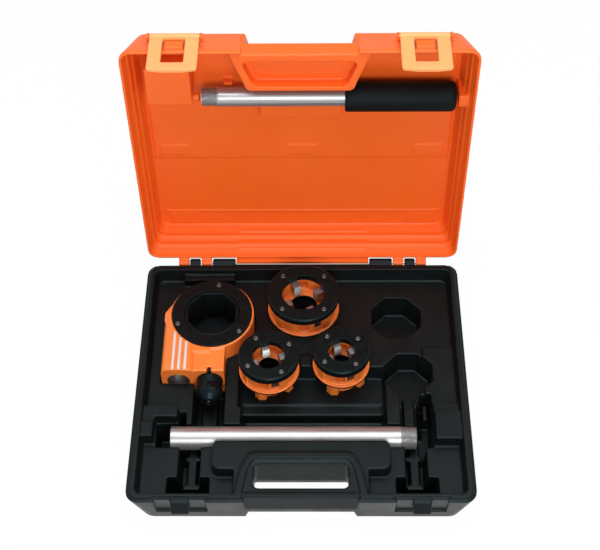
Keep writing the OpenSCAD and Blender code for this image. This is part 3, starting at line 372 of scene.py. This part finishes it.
# Ratchet head: a cast and painted body round the drive ring, with a boss for the handle and a stem for the
# pawl. Its edges are round and its paint follows the grain of the casting.
body_paint = grained(
    "body_paint",
    shades=((0.80, 0.178, 0.026), (0.84, 0.205, 0.034)),
    patch=0.012,
    roughness=(0.26, 0.36),
    grain=0.0016,
    depth=0.00016,
)
ratchet = rounded("ratchet_casting", ["ratchet_body"], voxel=0.0006, passes=8, triangles=110000)
ratchet.data.materials.append(body_paint)
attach(ratchet, "ratchet_head")
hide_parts("ratchet_body")


# Handle socket: the thread cut into the boss for the long tube, with a countersunk mouth and a flat end.
# It is cut after painting, so the steel is bare.
def threaded(along, radius, depth, centre, axis, columns=96, pitch=0.001814):
    """Turned form with a screw thread: each row gives a distance along the axis, a radius and a depth. The
    radius drops by the depth times a blunt saw-tooth of along over pitch less the turn, so that the groove
    climbs one pitch in a turn. A depth below 0 cuts outwards, as in a nut."""
    along, radius, depth = (np.asarray(values, float)[:, None] for values in (along, radius, depth))
    turn = np.arange(columns) / columns
    tooth = np.abs(2 * ((along / pitch - turn) % 1) - 1)
    return around(along[:, 0], radius - depth * np.clip(1.25 * tooth - 0.125, 0, 1), centre, axis)


bare_steel = grained(
    "bare_steel",
    shades=((0.09, 0.09, 0.095), (0.16, 0.16, 0.16)),
    patch=0.003,
    roughness=(0.34, 0.48),
    grain=0.0004,
    depth=0.00003,
    metallic=0.7,
)
boss_x, head_z = -0.151, 0.044
thread_step = 0.00018
core, groove = 0.0131, 0.0006
run = np.arange(0.0028, 0.0368, thread_step)[::-1]
along = np.concatenate([[0.0369, 0.0369], run, [0.0024, 0.0014, 0.0016, 0.0030, 0.0375, 0.0375]])
radius = np.concatenate([[0, 0.0128], 0 * run + core, [0.0137, 0.0145, 0.0149, 0.0144, 0.0144, 0]])
depth = np.concatenate([np.zeros(2), 0 * run - groove, np.zeros(6)])
socket = skin("socket_thread", [threaded(along, radius, depth, (boss_x, 0, head_z), "y")])
socket.data.materials.append(bare_steel)
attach(socket, "ratchet_head")

# Stripes: three bars of light grey plastic pressed into grooves on top of the boss, up to the black ring. The
# black index key beside them is pressed into the slot of the stem.
stripe_paint = grained(
    "stripe_paint",
    shades=((0.52, 0.52, 0.51), (0.62, 0.62, 0.61)),
    patch=0.006,
    roughness=(0.34, 0.46),
    grain=0.0008,
    depth=0.00004,
)
head_x, head_y = -0.1127, 0.087
bar_half, bar_pitch, ring_clear = 0.0016, 0.0074, 0.0512
places = boss_x + 0.0015 + bar_pitch * np.array([-1, 0, 1])
ends = head_y - np.sqrt(ring_clear**2 - (head_x - bar_half - places) ** 2)
stripes = skin(
    "boss_bars",
    [
        bar((x - bar_half, 0.0027, 0.0684), (x + bar_half, y, 0.0693), edge=0.0003)
        for x, y in zip(places, ends)
    ],
)
stripes.data.materials.append(stripe_paint)
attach(stripes, "ratchet_head")
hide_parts("boss_stripes")
satin_black = grained(
    "satin_black",
    shades=((0.0036, 0.0044, 0.0047), (0.0056, 0.0068, 0.0072)),
    patch=0.01,
    roughness=(0.22, 0.32),
    grain=0.0007,
    depth=0.00006,
    specular=0.13,
    tint=(0.45, 0.90, 1.0),
)
key = skin("index_key", [bar((-0.1138, 0.0034, 0.0545), (-0.1116, 0.0098, 0.0636), edge=0.0006)])
key.data.materials.append(satin_black)
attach(key, "ratchet_head")

# Cover ring of the ratchet: a turned steel ring, painted satin black and held by three screws. It keeps the
# toothed ring in the body.
ring = rounded("ratchet_cover", ["ratchet_cover_ring"], voxel=0.0004, passes=4, triangles=60000)
ring.data.materials.append(satin_black)
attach(ring, "ratchet_head")
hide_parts("ratchet_cover_ring")


# Screws: zinc-plated button heads with a hexagon socket, three in the ratchet cover, four in each die cover
# and one in the end of the knob.
def button_screw(seat, shank, axis="z"):
    """Turned screw whose socket rows are hexagons: there the radius is divided by the cosine of the turn from
    the middle of the nearest flat. Rows give height and radius in mm and the share of hexagon. The head
    stands on the seat, along the axis or against it for a shank below 0."""
    tip = -abs(shank)
    rows = np.array([
        (tip, 0, 0), (tip + 0.2, 1.4, 0), (tip + 0.5, 1.7, 0), (-0.05, 1.7, 0), (0, 3.1, 0), (0.12, 3.36, 0),
        (0.3, 3.4, 0), (1.0, 3.4, 0), (1.3, 3.34, 0), (1.6, 3.12, 0), (1.8, 2.7, 0), (1.9, 2.2, 0),
        (1.88, 1.95, 0.6), (1.76, 1.76, 1), (0.75, 1.7, 1), (0.55, 0.8, 1), (0.4, 0, 0),
    ])
    turn = np.linspace(0, 2 * np.pi, 48, endpoint=False)
    hexagon = math.cos(math.pi / 6) / np.cos(turn % (np.pi / 3) - np.pi / 6)
    radius = rows[:, 1:2] * (1 + rows[:, 2:] * (hexagon - 1)) / 1000
    return around(math.copysign(1, shank) * rows[:, 0] / 1000, radius, seat, axis)


zinc = grained(
    "zinc",
    shades=((0.055, 0.06, 0.065), (0.11, 0.115, 0.12)),
    patch=0.002,
    roughness=(0.28, 0.42),
    grain=0.0004,
    depth=0.00003,
    metallic=1.0,
)
first_screw, screw_circle, seat_z = 81.4, 0.0448, 0.0684
turn = np.radians(first_screw + 120 * np.arange(3))
seats = zip(head_x + screw_circle * np.cos(turn), head_y + screw_circle * np.sin(turn))
screws = skin("ratchet_cover_bolts", [button_screw((*seat, seat_z), shank=7) for seat in seats])
knob_bolt = skin("knob_bolt", [button_screw((head_x, -0.0280, head_z), shank=-6.35, axis="y")])
for piece, node, body in (
    (screws, "ratchet_cover_screws", "ratchet_head"),
    (knob_bolt, "knob_screw", "pawl_and_knob"),
):
    piece.data.materials.append(zinc)
    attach(piece, body)
    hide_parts(node)

# Drive ring: a blackened steel ring with 24 ratchet teeth round it, an octagonal socket through it and a
# collar that stands up inside the cover ring.
columns, tooth_step, flat_step = 480, 15, np.pi / 4
socket_r, collar_r, root_r, tooth = 0.0296, 0.0342, 0.0372, 0.0033
turn = np.linspace(0, 2 * np.pi, columns, endpoint=False)
octagon = socket_r / np.cos((turn + flat_step / 2) % flat_step - flat_step / 2)
from_crest = np.abs(np.degrees(turn) % tooth_step - tooth_step / 2)
teeth = root_r + tooth * (1 - eased(from_crest, 2.3, 3.1))
collar = np.full(columns, collar_r)
rows = (
    (0.0690, octagon), (0.0694, octagon + 0.0003), (0.0696, octagon + 0.0009), (0.0696, collar - 0.0009),
    (0.0694, collar - 0.0003), (0.0689, collar), (0.0666, collar), (0.0666, teeth - 0.0004),
    (0.0662, teeth), (0.0243, teeth), (0.0239, teeth - 0.0004), (0.0239, octagon + 0.0009),
    (0.0245, octagon),
)
gear = around(np.array([z for z, _ in rows]), np.array([r for _, r in rows]), (head_x, head_y, 0), "z")
drive = skin("drive_ring_gear", [gear], wrap_rows=True)
black_oxide = grained(
    "black_oxide",
    shades=((0.0030, 0.0036, 0.0038), (0.0050, 0.0060, 0.0064)),
    patch=0.006,
    roughness=(0.22, 0.34),
    grain=0.0006,
    depth=0.00005,
    specular=0.12,
    tint=(0.45, 0.90, 1.0),
)
drive.data.materials.append(black_oxide)
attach(drive, "drive_ring")
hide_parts("ratchet_ring")

# Pawl knob: black moulded plastic with a fluted ridge, a front that tapers to a flat end and a cone that
# nests in the stem. A screw from the front holds it on the pawl rod. Its profile and its flutes are in mm.
profile = softened(
    [
        (1.6, 0), (1.6, 3.7), (0, 3.7), (0, 7.5), (1.2, 9), (6, 13.2), (10, 15.8), (12.5, 16.8), (14.5, 16.2),
        (22.25, 15.2), (32, 16.2), (35, 9.5), (35, 0),
    ],
    0.7,
    5,
)
profile = np.concatenate([profile[:-1], [(35, 4.05), (8.05, 4.05), (8.05, 0)]])
steps = np.concatenate([[0], np.cumsum(np.linalg.norm(np.diff(profile, axis=0), axis=1))])
even = np.unique(np.concatenate([steps, np.linspace(0, steps[-1], 120)]))
fine = np.stack([np.interp(even, steps, profile[:, 0]), np.interp(even, steps, profile[:, 1])], axis=1)
flutes_at, flute_r, no_flute = 19.6, 4, 30.0
turn = np.linspace(0, 2 * np.pi, 256, endpoint=False)
off = (turn + np.pi / 8) % (np.pi / 4) - np.pi / 8
side = flutes_at * np.sin(off)
groove = flutes_at * np.cos(off) - np.sqrt(np.maximum(flute_r**2 - side**2, 0))
groove = np.where(np.abs(side) < flute_r, groove, no_flute)
outside = (fine[:, 1] > 4.5) & (fine[:, 0] < 30)
depth = np.where(outside, 1 - eased(fine[:, 0], 15, 18.5), 0)[:, None]
radius = fine[:, 1:]
radius = radius + depth * (np.minimum(radius, groove) - radius)
knob = skin("pawl_grip", [around(fine[:, 0] / 1000, radius / 1000, (head_x, -0.0296, head_z), "y")])
knob_plastic = grained(
    "knob_plastic",
    shades=((0.0028, 0.0034, 0.0036), (0.0046, 0.0056, 0.0060)),
    patch=0.008,
    roughness=(0.22, 0.32),
    grain=0.0008,
    depth=0.00006,
    specular=0.14,
    tint=(0.4, 0.85, 1.0),
)
knob.data.materials.append(knob_plastic)
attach(knob, "pawl_and_knob")
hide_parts("pawl_knob")


# Pawl, washer, spring and bush: turned steel and bronze pieces inside the stem, with small broken edges. The
# coil of steel wire between the bush and the washer is pressed together when the knob is pulled.
def dressed(node, material, edge):
    """CAD solid as it is, with its finish and with edges broken by a small bevel."""
    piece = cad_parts[node]
    piece.data.materials.clear()
    piece.data.materials.append(material)
    piece.modifiers.new("joined", "WELD").merge_threshold = 1e-6
    bevel = piece.modifiers.new("edge", "BEVEL")
    bevel.width = edge
    bevel.segments = 2
    bevel.limit_method = "ANGLE"
    bevel.angle_limit = math.radians(35)
    piece.modifiers.new("even", "WEIGHTED_NORMAL").keep_sharp = False


def coil(centre, radius, wire, length, turns):
    """Helix of round wire along y: each row is a ring of the wire's section, turned with the coil and raised
    by its share of the length. The first and the last ring shrink to a point, which closes the ends."""
    at = np.linspace(0, turns, 48 * turns + 1)
    at = np.concatenate([at[:1], at, at[-1:]])[:, None]
    thick = np.full(at.shape, wire)
    thick[[0, -1]] = 0
    ring = np.linspace(0, 2 * np.pi, 12, endpoint=False)
    spread = radius + thick * np.cos(ring)
    along = wire + (length - 2 * wire) * at / turns + thick * np.sin(ring)
    turn = 2 * np.pi * at
    x, y, z = centre
    return np.stack([x + spread * np.cos(turn), y + along, z + spread * np.sin(turn)], axis=-1)


bronze = grained(
    "bronze",
    shades=((0.42, 0.26, 0.10), (0.56, 0.37, 0.16)),
    patch=0.002,
    roughness=(0.30, 0.42),
    grain=0.0004,
    depth=0.00003,
    metallic=1.0,
)
dressed("pawl", bare_steel, edge=0.0002)
dressed("pawl_washer", bare_steel, edge=0.0001)
dressed("pawl_bush", bronze, edge=0.0002)
wound = coil((head_x, 0.0133, head_z), radius=0.00595, wire=0.0006, length=0.0188, turns=7)
spring = skin("pawl_coil", [wound])
spring.data.materials.append(bare_steel)
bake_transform(spring)
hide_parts("pawl_spring")

# Die heads: three painted castings with lugged drives, their flanges turned bright at the lower edge. Each
# has a thick black cover plate held by four screws, and four ground steel chasers in its slots.
ground_steel = grained(
    "ground_steel",
    shades=((0.17, 0.17, 0.17), (0.29, 0.29, 0.285)),
    patch=0.0025,
    roughness=(0.30, 0.44),
    grain=0.0004,
    depth=0.00004,
    metallic=1.0,
    stretch=(1, 1, 0.2),
)


def machined_and_shaded(name, painted, axis_x, axis_y, bore, low, high):
    """Painted finish with two places changed: bright machined metal between two heights, and near-black
    painted shade within a bore about an upright axis, where the bore lies in shadow. Each place is a mask
    that changes colour and roughness over, and the bright one is also the metal share."""
    material = painted.copy()
    material.name = name
    nodes, links = material.node_tree.nodes, material.node_tree.links
    shader = nodes["Principled BSDF"]
    place = next(node for node in nodes if node.type == "TEX_COORD").outputs["Object"]
    split = nodes.new("ShaderNodeSeparateXYZ")
    links.new(place, split.inputs[0])
    band = nodes.new("ShaderNodeMath")
    band.operation = "COMPARE"
    band.inputs[1].default_value = (low + high) / 2
    band.inputs[2].default_value = (high - low) / 2
    links.new(split.outputs["Z"], band.inputs[0])
    links.new(band.outputs[0], shader.inputs["Metallic"])
    flat = nodes.new("ShaderNodeVectorMath")
    flat.operation = "MULTIPLY"
    flat.inputs[1].default_value = (1, 1, 0)
    links.new(place, flat.inputs[0])
    reach = nodes.new("ShaderNodeVectorMath")
    reach.operation = "DISTANCE"
    reach.inputs[1].default_value = (axis_x, axis_y, 0)
    links.new(flat.outputs[0], reach.inputs[0])
    in_shade = nodes.new("ShaderNodeMath")
    in_shade.operation = "LESS_THAN"
    in_shade.inputs[1].default_value = bore
    links.new(reach.outputs["Value"], in_shade.inputs[0])
    # The second mask is painted shade: a near-black colour in the bore, where the die lies in shadow.
    for mask, colour, roughness in (
        (band.outputs[0], (0.15, 0.135, 0.125, 1), 0.38),
        (in_shade.outputs[0], (0.012, 0.010, 0.009, 1), 0.42),
    ):
        for socket, value in (("Base Color", colour), ("Roughness", roughness)):
            change = nodes.new("ShaderNodeMix")
            change.data_type = "RGBA" if socket == "Base Color" else "FLOAT"
            first = 6 if socket == "Base Color" else 2
            links.new(mask, change.inputs[0])
            links.new(shader.inputs[socket].links[0].from_socket, change.inputs[first])
            change.inputs[first + 1].default_value = value
            links.new(change.outputs[2 if socket == "Base Color" else 0], shader.inputs[socket])
    return material


band_low, band_high = 0.0414, 0.0452
plate_thick, shade_ring, screw_out = 0.0079, 0.0012, 0.0008
for size, x, y, flange, bore, pipe, first_screw, top in (
    ("large", 0.0017, 0.1134, 0.0453, 0.0268, 0.0167, 44.6, 0.0681),
    ("medium", -0.0403, 0.0194, 0.0373, 0.0200, 0.01345, 33.0, 0.0661),
    ("small", 0.0484, 0.0264, 0.0351, 0.0166, 0.01065, 40.0, 0.0661),
):
    casting = rounded(f"{size}_die_casting", [f"{size}_die_body"], voxel=0.0006, passes=5, triangles=70000)
    # Within the pipe's radius and a ring more, the casting's bore is painted near black as painted shade.
    paint = machined_and_shaded(f"{size}_die_paint", body_paint, x, y, pipe + shade_ring, band_low, band_high)
    casting.data.materials.append(paint)
    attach(casting, f"{size}_die_head")
    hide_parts(f"{size}_die_body")
    cover = rounded(f"{size}_die_plate", [f"{size}_die_cover"], voxel=0.0004, passes=4, triangles=70000)
    cover.data.materials.append(satin_black)
    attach(cover, f"{size}_die_head")
    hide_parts(f"{size}_die_cover")
    spread = (bore + flange) / 2 + screw_out
    turn = np.radians(first_screw + 90 * np.arange(4))
    seats = zip(x + spread * np.cos(turn), y + spread * np.sin(turn))
    grids = [button_screw((*seat, top + plate_thick), shank=13.5) for seat in seats]
    bolts = skin(f"{size}_die_bolts", grids)
    bolts.data.materials.append(zinc)
    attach(bolts, f"{size}_die_head")
    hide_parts(f"{size}_die_screws")
    dressed(f"{size}_die_chasers", ground_steel, edge=0.0002)

# Long handle tube: bright zinc-plated steel, tapped at its left end for the grip's tube and threaded at its
# right end for the ratchet's boss. It lies in the trough of the tray.
bright_zinc = grained(
    "bright_zinc",
    shades=((0.26, 0.27, 0.28), (0.44, 0.44, 0.445)),
    patch=0.003,
    roughness=(0.26, 0.38),
    grain=0.0006,
    depth=0.00003,
    metallic=0.7,
    stretch=(0.08, 1, 1),
)
thread_from, thread_long, thread_deep, run_out, narrower = 0.1167, 0.02, 0.0011, 0.14, 0.0004
outer, inner = 0.0140, 0.0102
tapped = np.arange(-0.1544, -0.1320, thread_step)[::-1]
cut = np.arange(thread_from, 0.1360, thread_step)
taper = (cut - thread_from) / thread_long
along = np.concatenate([
    [-0.1553, -0.1547, 0.1162], cut, [0.1367, 0.1367, 0.1362, -0.1314], tapped, [-0.1548, -0.1553],
])
radius = np.concatenate([
    [0.0134, outer, outer], outer - narrower * taper, [0.0124, 0.0107, inner, inner], 0 * tapped + 0.0104,
    [0.0112, 0.0118],
])
depth = np.concatenate([
    np.zeros(3), thread_deep * eased(taper, 0, run_out), np.zeros(4), 0 * tapped - 0.0009, np.zeros(2),
])
tube = skin("long_tube", [threaded(along, radius, depth, (0, -0.0756, 0.038), "x")], wrap_rows=True)
tube.data.materials.append(bright_zinc)
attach(tube, "long_handle")
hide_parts("handle_tube")

# Grip handle: a shorter zinc-plated tube with a threaded end, and a black rubber grip pushed over its other
# end. It lies across the lid between moulded blocks.
axis_y, axis_z = on_open_lid(np.array([0, -0.087, 0.0826]))[1:]
thread_to = -0.0943
outer, inner = 0.0114, 0.0087
cut = np.arange(-0.1136, thread_to, thread_step)
taper = (thread_to - cut) / thread_long
along = np.concatenate([[-0.1143, -0.1143], cut, [-0.0940, 0.1674, 0.1674, -0.1138]])
radius = np.concatenate([[0.0091, 0.0099], outer - narrower * taper, [outer, outer, inner, inner]])
depth = np.concatenate([np.zeros(2), thread_deep * eased(taper, 0, run_out), np.zeros(4)])
short_tube = skin("short_tube", [threaded(along, radius, depth, (0, axis_y, axis_z), "x")], wrap_rows=True)
short_tube.data.materials.append(bright_zinc)
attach(short_tube, "grip_handle")
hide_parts("grip_tube")
rubber = grained(
    "rubber",
    shades=((0.0032, 0.0036, 0.0038), (0.0056, 0.0060, 0.0062)),
    patch=0.012,
    roughness=(0.50, 0.62),
    grain=0.0010,
    depth=0.00014,
    specular=0.10,
    tint=(0.6, 0.9, 1.0),
)
profile = softened(
    [
        (116, 0), (116, 11.4), (0.2, 11.4), (0, 12.2), (0, 16.3), (1.5, 17.8), (123, 17.8), (126.5, 15.8),
        (128, 12.4), (128, 0),
    ],
    1.2,
    5,
)
grip = skin("rubber_grip", [turned(profile / 1000, (0.0514, axis_y, axis_z), "x", columns=96)])
grip.data.materials.append(rubber)
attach(grip, "grip_handle")
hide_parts("handle_grip")

# Studio: a white floor that keeps a soft shadow, an even sky, one large softbox above and one in front. Floor
# and sky are white where they are seen and dimmer for the light they give.
scene = bpy.context.scene
floor = bpy.data.objects.new("floor", bpy.data.meshes.new("floor"))
floor.data.from_pydata([(-4, -4, 0), (4, -4, 0), (4, 4, 0), (-4, 4, 0)], [], [(0, 1, 2, 3)])
scene.collection.objects.link(floor)
floor_paint = bpy.data.materials.new("floor_paint")
floor_paint.use_nodes = True
floor.data.materials.append(floor_paint)


def seen_directly(nodes, links):
    """1 for a ray from the camera, a mirror or a glass, and 0 for light that falls on the object."""
    path = nodes.new("ShaderNodeLightPath")
    either = nodes.new("ShaderNodeMath")
    links.new(path.outputs["Is Camera Ray"], either.inputs[0])
    links.new(path.outputs["Is Glossy Ray"], either.inputs[1])
    any_of = nodes.new("ShaderNodeMath")
    any_of.use_clamp = True
    links.new(either.outputs[0], any_of.inputs[0])
    links.new(path.outputs["Is Transmission Ray"], any_of.inputs[1])
    return any_of.outputs[0]


nodes, links = floor_paint.node_tree.nodes, floor_paint.node_tree.links
shader = nodes["Principled BSDF"]
shader.inputs["Base Color"].default_value = (0.9, 0.9, 0.9, 1)
shader.inputs["Roughness"].default_value = 0.9
shader.inputs["Specular IOR Level"].default_value = 0.0
glow = nodes.new("ShaderNodeEmission")
share = nodes.new("ShaderNodeMath")
share.operation = "MULTIPLY"
share.inputs[1].default_value = 0.97
links.new(seen_directly(nodes, links), share.inputs[0])
blend = nodes.new("ShaderNodeMixShader")
links.new(share.outputs[0], blend.inputs[0])
links.new(shader.outputs[0], blend.inputs[1])
links.new(glow.outputs[0], blend.inputs[2])
links.new(blend.outputs[0], nodes["Material Output"].inputs["Surface"])

sky = bpy.data.worlds.new("sky")
sky.use_nodes = True
scene.world = sky
nodes, links = sky.node_tree.nodes, sky.node_tree.links
level = nodes.new("ShaderNodeMapRange")
level.inputs["To Min"].default_value = 0.32
level.inputs["To Max"].default_value = 1.0
links.new(seen_directly(nodes, links), level.inputs["Value"])
nodes["Background"].inputs["Color"].default_value = (1, 1, 1, 1)
links.new(level.outputs["Result"], nodes["Background"].inputs["Strength"])

for name, place, aim, width, height, watts in (
    ("top_softbox", (0.0, 0.05, 1.6), (0.0, 0.05, 0.0), 1.4, 1.0, 19.0),
    ("front_softbox", (0.25, -1.6, 1.1), (0.0, 0.05, 0.12), 1.2, 0.8, 22.0),
):
    lamp = bpy.data.lights.new(name, "AREA")
    lamp.shape = "RECTANGLE"
    lamp.size, lamp.size_y = width, height
    lamp.energy = watts
    box = bpy.data.objects.new(name, lamp)
    box.rotation_mode = "QUATERNION"
    box.rotation_quaternion = (Vector(aim) - Vector(place)).to_track_quat("-Z", "Y")
    box.location = place
    scene.collection.objects.link(box)

# Camera: where the photograph was taken from, in front of the open case and above it. Its angles, its place
# and its focal length in pixels are worked out from the straight rims of the case.
focal, picture_w = 1256.6, 600
eye = (0.0171, -0.8526, 1.3309)
pitch, yaw, roll = math.radians(51.59), math.radians(-1.14), math.radians(-0.99)
forward = np.array([math.sin(yaw) * math.cos(pitch), math.cos(yaw) * math.cos(pitch), -math.sin(pitch)])
level_right = np.array([math.cos(yaw), -math.sin(yaw), 0.0])
level_up = np.cross(level_right, forward)
right = math.cos(roll) * level_right + math.sin(roll) * level_up
up = -math.sin(roll) * level_right + math.cos(roll) * level_up
camera = bpy.data.objects.new("camera", bpy.data.cameras.new("camera"))
camera.data.sensor_width = 36.0
camera.data.lens = camera.data.sensor_width * focal / picture_w
axes = np.eye(4)
axes[:3] = np.stack([right, up, -forward, eye], axis=1)
camera.matrix_world = Matrix(axes.tolist())
scene.collection.objects.link(camera)
scene.camera = camera
scene.view_settings.view_transform = "Standard"
